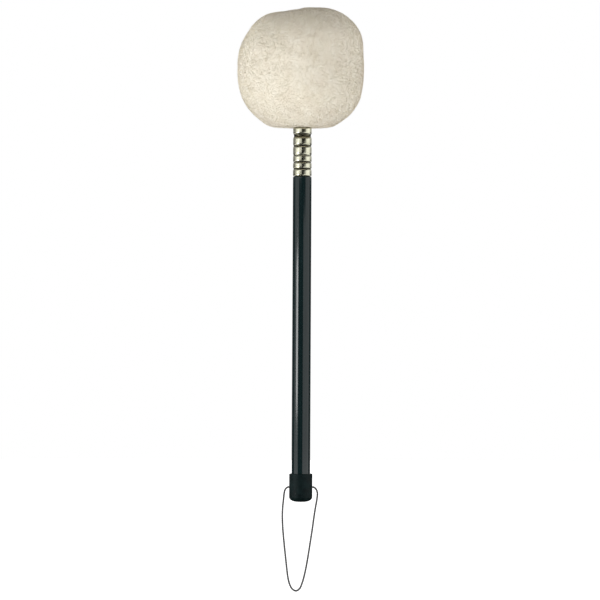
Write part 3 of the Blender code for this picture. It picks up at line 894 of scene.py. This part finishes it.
def stuffed_place(place):
    """Where a point of the ideal ball lies on the stuffed cover, which leans, bulges, dips and pleats."""
    x, y, z = place.x, place.y, place.z - HEAD_CENTRE
    around = math.atan2(y, x)
    radius = math.hypot(x, y)
    free = ramp(*FREE_RADII, radius) if z < 0.0 else 1.0
    lean = LEAN + CROWN_LEAN * ramp(*CROWN_LEAN_HEIGHTS, z) + FOOT_LEAN * ramp(*FOOT_LEAN_HEIGHTS, z)
    lump = TWO_SIDED_LUMP * math.sin(2.0 * around) * math.cos(z / TWO_SIDED_HEIGHT)
    three_sided = math.sin(3.0 * around + THREE_SIDED_TURN)
    lump += THREE_SIDED_LUMP * three_sided * math.sin(z / THREE_SIDED_HEIGHT + THREE_SIDED_RISE)
    if z > 0.0:
        lift = 0.0
        for at, part, reach, height in CROWN_DENTS:
            lift += height * bump(math.hypot(x - at, part * y), reach)
        lift *= ramp(*CROWN_DENT_HEIGHTS, z)
    else:
        lift = FOOT_LIFT * bump(radius - FOOT_RING_RADIUS, FOOT_RING_REACH) * ramp(*FOOT_LIFT_HEIGHTS, z)
    stretch = 1.0 + lump * free
    moved = Vector((x * stretch + lean * free, y * stretch, z + lift * free))
    if z < 0.0:
        pleat = 0.5 + 0.5 * math.cos(GATHER_PLEATS * around + PLEAT_WANDER * math.sin(3.0 * around))
        pleat *= bump(radius - PLEAT_RADIUS, PLEAT_REACH) * ramp(*PLEAT_HEIGHTS, z)
        moved.z += PLEAT_DEPTH * pleat
    moved.z += HEAD_CENTRE
    away = Vector((moved.x, moved.y, moved.z - HEAD_CENTRE)).normalized()
    hills = sum(height * noise.noise(moved / size) for height, size in HILLS)
    return moved + away * hills * free


def make_cover():
    """The stuffed cover's backing: a thick bag of fleece with a thin sleeve on the neck."""
    inner_foot = -head_drop(BOSS_RADIUS, INNER_HALF_WIDTH, INNER_HALF_HEIGHT)
    mouth = GROOVE_RADIUS + MOUTH_LIP[0]
    outer_foot = -head_drop(mouth, BACKING_HALF_WIDTH, BACKING_HALF_HEIGHT)
    inside = head_curve(INNER_HALF_WIDTH, INNER_HALF_HEIGHT, inner_foot, INNER_HALF_HEIGHT, INNER_STEPS)
    outline = list(reversed(inside))
    outline += [
        (BOSS_RADIUS, SLEEVE_TOP),
        (SLEEVE_RADIUS, SLEEVE_TOP),
        (SLEEVE_RADIUS, SLEEVE_FOOT),
        (SLEEVE_RADIUS + SLEEVE_WALL, SLEEVE_FOOT),
        (SLEEVE_RADIUS + SLEEVE_WALL, GROOVE_TOP),
        (GROOVE_RADIUS, GROOVE_TOP),
    ]
    outline += arc((mouth, HEAD_CENTRE + outer_foot + MOUTH_LIP[1]), MOUTH_LIP, 180.0, 262.0, steps=6)
    outline += head_curve(
        BACKING_HALF_WIDTH,
        BACKING_HALF_HEIGHT,
        outer_foot,
        BACKING_HALF_HEIGHT,
        OUTER_STEPS,
    )
    cover = turn("stuffed_cover", outline, COVER_STEPS)
    middle_width = HEAD_HALF_WIDTH - COVER_THICKNESS / 2
    middle_height = HEAD_HALF_HEIGHT - COVER_THICKNESS / 2
    for vertex in cover.data.vertices:
        outward = (math.hypot(vertex.co.x, vertex.co.y) / middle_width) ** HEAD_SQUARENESS
        outward += (abs(vertex.co.z - HEAD_CENTRE) / middle_height) ** HEAD_SQUARENESS
        if outward > 1.0:
            vertex.co = stuffed_place(vertex.co)
    finish_piece(cover, fleece_material(), "mallet", ["fleece_cover"], smooth_degrees=60.0)
    return cover


def smooth_field(places, size, seed):
    """A slow wave of places, mostly between -1 and 1, made of a few crossed sine waves."""
    draw = np.random.default_rng(seed)
    total = np.zeros(len(places))
    for _ in range(LAY_WAVES):
        direction = draw.normal(size=3)
        direction /= np.linalg.norm(direction)
        length = size * draw.uniform(*LAY_WAVE_SIZES)
        start = draw.uniform(0.0, 6.28)
        total += np.sin(places @ direction * 2.0 * np.pi / length + start)
    return total / LAY_WAVES * LAY_HEIGHT


def unit(vectors):
    """Vectors of length 1, or of no length where they had none."""
    return vectors / np.maximum(np.linalg.norm(vectors, axis=1), SHORTEST)[:, None]


def fibre_roots(cover, draw):
    """Places on the cover's outside, with the way each faces, spread evenly by area."""
    mesh = cover.data
    mesh.calc_loop_triangles()
    places = np.empty(len(mesh.vertices) * 3)
    mesh.vertices.foreach_get("co", places)
    places = places.reshape(-1, 3)
    corners = np.empty(len(mesh.loop_triangles) * 3, dtype=int)
    mesh.loop_triangles.foreach_get("vertices", corners)
    corners = corners.reshape(-1, 3)
    first, second, third = (places[corners[:, side]] for side in range(3))
    facing = np.cross(second - first, third - first)
    area = np.linalg.norm(facing, axis=1) / 2.0
    facing = unit(facing)
    middle = (first + second + third) / 3.0
    from_centre = middle - np.array((0.0, 0.0, HEAD_CENTRE))
    # Only what faces outwards, lies past the cover's inner wall and is clear of the tie's groove
    outside = np.einsum("ij,ij->i", facing, from_centre) > 0.0
    outside &= np.hypot(middle[:, 0], middle[:, 1]) > GROOVE_RADIUS * (middle[:, 2] < HEAD_CENTRE)
    outside &= np.linalg.norm(from_centre, axis=1) > INNER_HALF_WIDTH
    weight = np.where(outside, area, 0.0)
    chosen = draw.choice(len(corners), size=FIBRE_COUNT, p=weight / weight.sum())
    share = np.sqrt(draw.random(FIBRE_COUNT))[:, None]
    split = draw.random(FIBRE_COUNT)[:, None]
    roots = (1.0 - share) * first[chosen]
    roots += share * (1.0 - split) * second[chosen]
    roots += share * split * third[chosen]
    return roots, facing[chosen]


def clump_centres(roots, draw):
    """For each root, the nearest of the centres that the fibres mat together at."""
    centres = roots[draw.choice(len(roots), size=CLUMP_COUNT, replace=False)]
    tree = kdtree.KDTree(len(centres))
    for index, centre in enumerate(centres):
        tree.insert(centre, index)
    tree.balance()
    nearest = np.array([tree.find(root)[1] for root in roots])
    return centres[nearest], nearest


def lock_shapes(roots, facing, draw):
    """Corners of bent, tapered wool locks that lie over in patches and mat into clumps."""
    centres, clump = clump_centres(roots, draw)
    sideways = unit(np.cross(facing, np.array((0.0, 0.0, 1.0)) + OFF_UPRIGHT))
    upward = np.cross(sideways, facing)
    lay = np.pi * LAY_SWING * smooth_field(roots, LAY_SIZE, LAY_SEED)
    lay += draw.normal(0.0, LAY_SPREAD, FIBRE_COUNT)
    brushed = np.cos(lay)[:, None] * sideways + np.sin(lay)[:, None] * upward
    clump_height = draw.uniform(*CLUMP_HEIGHTS, CLUMP_COUNT)[clump]
    height = PILE_DEPTH * clump_height * draw.uniform(*FIBRE_HEIGHTS, FIBRE_COUNT)
    lean = draw.uniform(*FIBRE_LEANS, FIBRE_COUNT)
    pull = centres - roots
    knee = roots + facing * (KNEE_RISE * height)[:, None] + brushed * (KNEE_LEAN * lean)[:, None]
    knee += KNEE_PULL * pull
    tip = roots + facing * height[:, None] + brushed * lean[:, None] + TIP_PULL * pull
    width = FIBRE_WIDTH * draw.uniform(*FIBRE_WIDTHS, FIBRE_COUNT)[:, None]
    across = unit(np.cross(facing, brushed))
    angles = draw.uniform(0.0, 2.0 * np.pi, FIBRE_COUNT)[:, None]
    corners = []
    for place, share in ((roots - FIBRE_SINK * facing, 1.0), (knee, KNEE_TAPER)):
        for side in range(FIBRE_SIDES):
            angle = angles + 2.0 * np.pi * side / FIBRE_SIDES
            outward = np.cos(angle) * across + np.sin(angle) * brushed
            corners.append(place + share * width * 0.5 * outward)
    corners.append(tip)
    return np.stack(corners, axis=1)


def add_pile_band(name, locks, material):
    """One band of the pile, as one mesh of its locks."""
    count = len(locks)
    faces = np.array(FIBRE_FACES)[None] + len(FIBRE_LEVELS) * np.arange(count)[:, None, None]
    mesh = bpy.data.meshes.new(name)
    mesh.vertices.add(count * len(FIBRE_LEVELS))
    mesh.vertices.foreach_set("co", locks.reshape(-1))
    mesh.loops.add(faces.size)
    mesh.loops.foreach_set("vertex_index", faces.reshape(-1))
    mesh.polygons.add(count * len(FIBRE_FACES))
    mesh.polygons.foreach_set("loop_start", np.arange(0, faces.size, 3))
    mesh.update(calc_edges=True)
    mesh.validate()
    # Each corner's level up its lock, which the pile's material reads to paint shade towards the roots
    level = mesh.attributes.new("pile_level", "FLOAT", "POINT")
    level.data.foreach_set("value", np.tile(FIBRE_LEVELS, count))
    piece = bpy.data.objects.new(name, mesh)
    bpy.context.scene.collection.objects.link(piece)
    finish_piece(piece, material, "mallet", ["fleece_cover"], smooth_degrees=180.0)


def make_pile(cover):
    """The fleece's short pile, in bands from the neck to the crown."""
    draw = np.random.default_rng(PILE_SEED)
    roots, facing = fibre_roots(cover, draw)
    locks = lock_shapes(roots, facing, draw)
    order = np.argsort(roots[:, 2], kind="stable")
    material = pile_material()
    for name, members in zip(PILE_BANDS, np.array_split(order, len(PILE_BANDS))):
        add_pile_band(name, locks[members], material)


def paint_cad_nodes():
    """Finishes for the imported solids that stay: the core, what clamps it, the felts and the knot."""
    finishes = {
        "felt_base": felt_material(),
        "core": beech_material(),
        "core_stud": plated_steel_material(),
        "loop_knot": bpy.data.materials["grey_cord"],
    }
    finishes["felt_wrap"] = finishes["felt_base"]
    finishes["felt_crown"] = finishes["felt_base"]
    finishes["core_washer"] = finishes["core_stud"]
    finishes["core_nut"] = finishes["core_stud"]
    for node, material in finishes.items():
        for slot in frame["nodes"][node].material_slots:
            slot.material = material


# Studio

FLOOR_RADIUS = 4.0
FLOOR_SIDES = 96
FLOOR_DROP = 70 * MM
FLOOR_GREY = 0.85
FLOOR_GLOW = 0.7
AMBIENT = 0.84
BACKGROUND_WHITE = 1.0
LAMP_DISTANCE = 1.3
LAMP_SIZE = (1.2, 0.4)
STRIP_SIZE = (0.52, 0.19)
STRIP_HEIGHT = 0.042
CARD_DISTANCE = 1.4
CARD_FOOT = -1.2
CARD_TOP = 1.2
SHAFT_CARD_TOP = 0.24
FERRULE_CARD_FOOT = 0.19
EDGE_CARD_FOOT = 0.245
BRIGHT_CARD_HEIGHTS = (0.25, 0.55)
HIGH_CARD_HEIGHTS = (0.56, 1.3)
LEFT_EDGE = (-160.0, -92.0)
RIGHT_EDGE = (104.0, 165.0)
CARD_BLACK = 0.0
CARD_DIM = 0.06
CARD_BRIGHT = 1.5
CARD_ABOVE_SIZE = (2.6, 2.6)
CARD_BELOW_SIZE = (1.6, 1.6)
CARD_BELOW_DROP = 60 * MM


def background_rays(tree):
    """1 for the rays that show the background: the camera's, and those that gloss and glass send on."""
    rays = tree.nodes.new("ShaderNodeLightPath")
    seen = tree.nodes.new("ShaderNodeMath")
    seen.operation = "MAXIMUM"
    through = tree.nodes.new("ShaderNodeMath")
    through.operation = "MAXIMUM"
    tree.links.new(rays.outputs["Is Camera Ray"], seen.inputs[0])
    tree.links.new(rays.outputs["Is Glossy Ray"], seen.inputs[1])
    tree.links.new(seen.outputs[0], through.inputs[0])
    tree.links.new(rays.outputs["Is Transmission Ray"], through.inputs[1])
    return through.outputs[0]


def add_floor():
    """The plain pale floor below the loop, with a glow that only the camera, gloss and glass see."""
    deselect_everything()
    bpy.ops.mesh.primitive_circle_add(
        vertices=FLOOR_SIDES,
        radius=FLOOR_RADIUS,
        fill_type="NGON",
        location=(0.0, 0.0, LOOP_LOW.z - FLOOR_DROP),
    )
    floor = bpy.context.object
    floor.name = "floor"
    nodes = Nodes("pale_floor")
    nodes.set(Base_Color=(FLOOR_GREY, FLOOR_GREY, FLOOR_GREY, 1.0), Roughness=1.0, Specular_IOR_Level=0.0)
    glow = nodes.add("ShaderNodeEmission", Strength=FLOOR_GLOW)
    both = nodes.add("ShaderNodeAddShader")
    mix = nodes.add("ShaderNodeMixShader")
    nodes.join(nodes.shader.outputs[0], both.inputs[0])
    nodes.join(glow.outputs[0], both.inputs[1])
    nodes.join(background_rays(nodes.tree), mix.inputs["Fac"])
    nodes.join(nodes.shader.outputs[0], mix.inputs[1])
    nodes.join(both.outputs[0], mix.inputs[2])
    nodes.join(mix.outputs[0], nodes.output.inputs["Surface"])
    floor.data.materials.append(nodes.material)


def add_world():
    """Soft light from all round, behind a background that the camera and the gloss see as white."""
    world = bpy.data.worlds.new("studio")
    bpy.context.scene.world = world
    world.use_nodes = True
    tree = world.node_tree
    tree.nodes.clear()
    ambient = tree.nodes.new("ShaderNodeBackground")
    ambient.inputs["Color"].default_value = (1.0, 1.0, 1.0, 1.0)
    ambient.inputs["Strength"].default_value = AMBIENT
    white = tree.nodes.new("ShaderNodeBackground")
    white.inputs["Color"].default_value = (1.0, 1.0, 1.0, 1.0)
    white.inputs["Strength"].default_value = BACKGROUND_WHITE
    mix = tree.nodes.new("ShaderNodeMixShader")
    output = tree.nodes.new("ShaderNodeOutputWorld")
    tree.links.new(background_rays(tree), mix.inputs["Fac"])
    tree.links.new(ambient.outputs[0], mix.inputs[1])
    tree.links.new(white.outputs[0], mix.inputs[2])
    tree.links.new(mix.outputs[0], output.inputs["Surface"])


def around(azimuth, distance, height):
    """A place round the mallet: azimuth 0 is the camera's side, and positive turns to its right."""
    angle = math.radians(azimuth)
    return Vector((distance * math.sin(angle), -distance * math.cos(angle), height))


def face(thing, target):
    """Turn a lamp or a card so that its own -Z points at a target."""
    thing.rotation_euler = (thing.location - target).to_track_quat("Z", "Y").to_euler()


def add_lamp(name, azimuth, height, size, power, target, in_gloss):
    """A soft rectangular lamp, hidden from the camera, that the gloss may show."""
    lamp = bpy.data.lights.new(name, "AREA")
    lamp.shape = "RECTANGLE"
    lamp.size, lamp.size_y = size
    lamp.energy = power
    holder = bpy.data.objects.new(name, lamp)
    bpy.context.scene.collection.objects.link(holder)
    holder.location = around(azimuth, LAMP_DISTANCE, height)
    holder.visible_camera = False
    holder.visible_glossy = in_gloss
    face(holder, target)


def add_card(name, place, size, target, grey, shades=False):
    """A card of one even grey for the gloss to show. One that shades also hides the soft light behind it."""
    deselect_everything()
    bpy.ops.mesh.primitive_plane_add(size=1.0, location=place)
    card = bpy.context.object
    card.name = name
    card.scale = (size[0], size[1], 1.0)
    face(card, target)
    card.visible_camera = False
    card.visible_diffuse = shades
    card.visible_shadow = False
    nodes = Nodes(name)
    nodes.set(Base_Color=(0.0, 0.0, 0.0, 1.0), Roughness=1.0, Specular_IOR_Level=0.0)
    nodes.set(Emission_Color=(grey, grey, grey, 1.0), Emission_Strength=1.0)
    card.data.materials.append(nodes.material)


def add_upright_card(name, azimuths, heights, grey):
    """A card that stands round the mallet between two azimuths and two heights."""
    middle = (azimuths[0] + azimuths[1]) / 2
    half = math.radians(azimuths[1] - azimuths[0]) / 2
    height = (heights[0] + heights[1]) / 2
    size = (2.0 * CARD_DISTANCE * math.tan(half), heights[1] - heights[0])
    place = around(middle, CARD_DISTANCE, height)
    add_card(name, place, size, Vector((0.0, 0.0, height)), grey)


def add_studio():
    """The floor, the soft lamps, and the cards that the handle and the ferrule mirror."""
    head = Vector((0.0, 0.0, HEAD_CENTRE))
    shaft = Vector((0.0, 0.0, STRIP_HEIGHT))
    add_floor()
    add_world()
    add_lamp("soft_left", -50.0, 0.0, LAMP_SIZE, power=5.4, target=head, in_gloss=False)
    add_lamp("soft_right", 45.0, 0.0, LAMP_SIZE, power=4.6, target=head, in_gloss=False)
    add_lamp("strip", -56.0, STRIP_HEIGHT, STRIP_SIZE, power=2.4, target=shaft, in_gloss=True)
    add_upright_card("card_shaft", (-40.0, 18.0), (CARD_FOOT, SHAFT_CARD_TOP), CARD_BLACK)
    add_upright_card("card_ferrule", (-8.0, 42.0), (FERRULE_CARD_FOOT, CARD_TOP), CARD_BLACK)
    for side, azimuths in (("left", (-100.0, -34.0)), ("front", (-36.0, 36.0)), ("right", (34.0, 100.0))):
        add_upright_card(f"card_high_{side}", azimuths, HIGH_CARD_HEIGHTS, CARD_BLACK)
    add_upright_card("bright_left", (-60.0, -24.0), BRIGHT_CARD_HEIGHTS, CARD_BRIGHT)
    add_upright_card("bright_right", (56.0, 98.0), BRIGHT_CARD_HEIGHTS, CARD_BRIGHT)
    add_upright_card("card_left", LEFT_EDGE, (CARD_FOOT, SHAFT_CARD_TOP), CARD_DIM)
    add_upright_card("card_right", RIGHT_EDGE, (CARD_FOOT, SHAFT_CARD_TOP), CARD_DIM)
    add_upright_card("edge_left", LEFT_EDGE, (EDGE_CARD_FOOT, CARD_TOP), grey=0.35)
    add_upright_card("edge_right", RIGHT_EDGE, (EDGE_CARD_FOOT, CARD_TOP), grey=0.65)
    above = Vector((0.0, -0.6, 1.25))
    below = Vector((0.0, -0.2, LOOP_LOW.z - CARD_BELOW_DROP))
    add_card("card_above", above, CARD_ABOVE_SIZE, Vector((0.0, 0.0, 0.2)), grey=0.22, shades=True)
    add_card("card_below", below, CARD_BELOW_SIZE, Vector((0.0, -0.2, 0.2)), CARD_DIM)
    bpy.context.scene.view_settings.view_transform = "Standard"


add_camera()
make_loop()
make_handle()
make_end_cap()
make_ferrule()
make_neck_tie()
make_pile(make_cover())
paint_cad_nodes()
add_studio()
